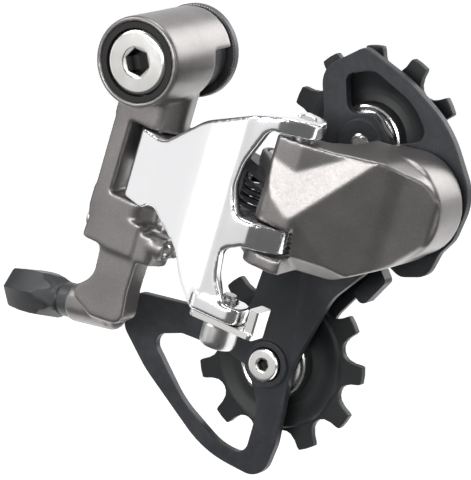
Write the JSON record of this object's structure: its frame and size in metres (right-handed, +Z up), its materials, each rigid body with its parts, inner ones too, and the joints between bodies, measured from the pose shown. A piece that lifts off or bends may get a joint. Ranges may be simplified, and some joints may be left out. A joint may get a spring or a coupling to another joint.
{
  "type": "rear bicycle derailleur",
  "caption": "Short-cage rear derailleur for a road bicycle: two knuckles joined by a slanted parallelogram, a sprung cage with two toothed pulleys and a cable adjuster.",
  "frame": {"origin": "on the mounting bolt's axis, in the plane where its shoulder seats on the frame's hanger", "axes": "+X forwards along the bicycle, +Y towards the wheel along the mounting bolt, +Z up"},
  "size_m": [0.1321, 0.057, 0.1259],
  "materials": {
    "satin_grey": "satin metallic grey paint",
    "polished_silver": "polished and clear-coated",
    "plate_charcoal": "satin charcoal paint",
    "bright_steel": "nickel-plated",
    "steel": "zinc-plated",
    "black_steel": "black oxide",
    "bronze": "sintered",
    "pulley_black": "glass-filled resin",
    "black_plastic": "satin moulded",
    "seal_rubber": "moulded",
    "dark_alloy": "satin"
  },
  "bodies": {
    "mount": {"mounting_bolt": "bright_steel", "snap_ring": "steel"},
    "stopper": {"stopper_plate": "bright_steel"},
    "b_screw": {"b_tension_screw": "steel"},
    "b_knuckle": {"b_knuckle_body": "satin_grey", "b_bushing": "bronze", "b_inner_cover": "black_plastic", "b_spring": "steel", "b_seal_ring": "seal_rubber", "b_link_pins": "steel", "adjuster_ring": "black_plastic"},
    "high_screw": {"high_limit_screw": "steel"},
    "low_screw": {"low_limit_screw": "steel"},
    "adjuster": {"adjuster_bolt": "steel", "adjuster_grip": "black_plastic"},
    "outer_link": {"outer_link": "polished_silver", "cable_clamp_plate": "bright_steel"},
    "clamp_bolt": {"cable_fixing_bolt": "bright_steel"},
    "inner_link": {"inner_link": "dark_alloy"},
    "p_knuckle": {"p_knuckle_body": "satin_grey", "return_spring": "black_steel", "p_outer_pin": "steel", "p_inner_pin": "steel", "p_bushing": "bronze", "p_spring": "steel", "p_seal_ring": "seal_rubber"},
    "cage": {"p_axle": "steel", "cage_outer_plate": "plate_charcoal", "cage_inner_plate": "plate_charcoal", "cage_stop_pin": "steel", "guide_pulley_bolt": "bright_steel", "tension_pulley_bolt": "bright_steel", "guide_pulley_bush": "steel", "tension_pulley_bush": "steel", "guide_pulley_caps": "bright_steel", "tension_pulley_caps": "bright_steel"},
    "guide_wheel": {"guide_pulley": "pulley_black"},
    "tension_wheel": {"tension_pulley": "pulley_black"}
  },
  "joints": [
    {"name": "stopper_plate_turn", "type": "hinge", "parent": "mount", "child": "stopper", "pos_m": [0, 0, 0], "axis": [0, 1, 0], "range_deg": [-4, 4]},
    {"name": "b_tension_screw_turn", "type": "hinge", "parent": "stopper", "child": "b_screw", "pos_m": [-0.015, -0.00025, 0.0024], "axis": [1, 0, 0], "continuous": true},
    {"name": "b_pivot", "type": "hinge", "parent": "stopper", "child": "b_knuckle", "pos_m": [0, -0.017, 0], "axis": [0, 1, 0], "range_deg": [-8, 5], "stiffness_Nm_per_rad": 8},
    {"name": "high_limit_screw_turn", "type": "hinge", "parent": "b_knuckle", "child": "high_screw", "pos_m": [-0.01525, -0.0164, -0.04693], "axis": [0.9511, 0, -0.309], "continuous": true},
    {"name": "low_limit_screw_turn", "type": "hinge", "parent": "b_knuckle", "child": "low_screw", "pos_m": [-0.01525, -0.0106, -0.04693], "axis": [0.9511, 0, -0.309], "continuous": true},
    {"name": "barrel_adjuster_turn", "type": "hinge", "parent": "b_knuckle", "child": "adjuster", "pos_m": [-0.02701, -0.0117, -0.06867], "axis": [-0.9711, 0.2304, 0.0628], "continuous": true},
    {"name": "link_swing", "type": "hinge", "parent": "b_knuckle", "child": "outer_link", "pos_m": [-0.00629, -0.014, -0.02908], "axis": [0.309, 0, 0.9511], "range_deg": [0, 48], "stiffness_Nm_per_rad": 1, "springref_deg": -28.65},
    {"name": "inner_link_swing", "type": "hinge", "parent": "b_knuckle", "child": "inner_link", "pos_m": [-0.01675, -0.003, -0.02568], "axis": [0.309, 0, 0.9511], "range_deg": [0, 48]},
    {"name": "p_knuckle_follow", "type": "hinge", "parent": "outer_link", "child": "p_knuckle", "pos_m": [0.04102, -0.026, -0.0291], "axis": [0.309, 0, 0.9511], "range_deg": [-48, 0]},
    {"name": "cable_bolt_turn", "type": "hinge", "parent": "outer_link", "child": "clamp_bolt", "pos_m": [0.02369, -0.0302, -0.06658], "axis": [0.309, 0, 0.9511], "continuous": true},
    {"name": "cage_pivot", "type": "hinge", "parent": "p_knuckle", "child": "cage", "pos_m": [0.0623, 0.003, -0.0365], "axis": [0, 1, 0], "range_deg": [-120, 0], "stiffness_Nm_per_rad": 0.12, "springref_deg": 85.94},
    {"name": "guide_pulley_spin", "type": "hinge", "parent": "cage", "child": "guide_wheel", "pos_m": [0.0456, 0.0122, -0.0224], "axis": [0, 1, 0], "continuous": true},
    {"name": "tension_pulley_spin", "type": "hinge", "parent": "cage", "child": "tension_wheel", "pos_m": [0.0177, 0.0122, -0.0832], "axis": [0, 1, 0], "continuous": true}
  ],
  "couplings": [
    {"joint": "inner_link_swing", "follows": "link_swing", "ratio": 1},
    {"joint": "p_knuckle_follow", "follows": "link_swing", "ratio": -1}
  ]
}
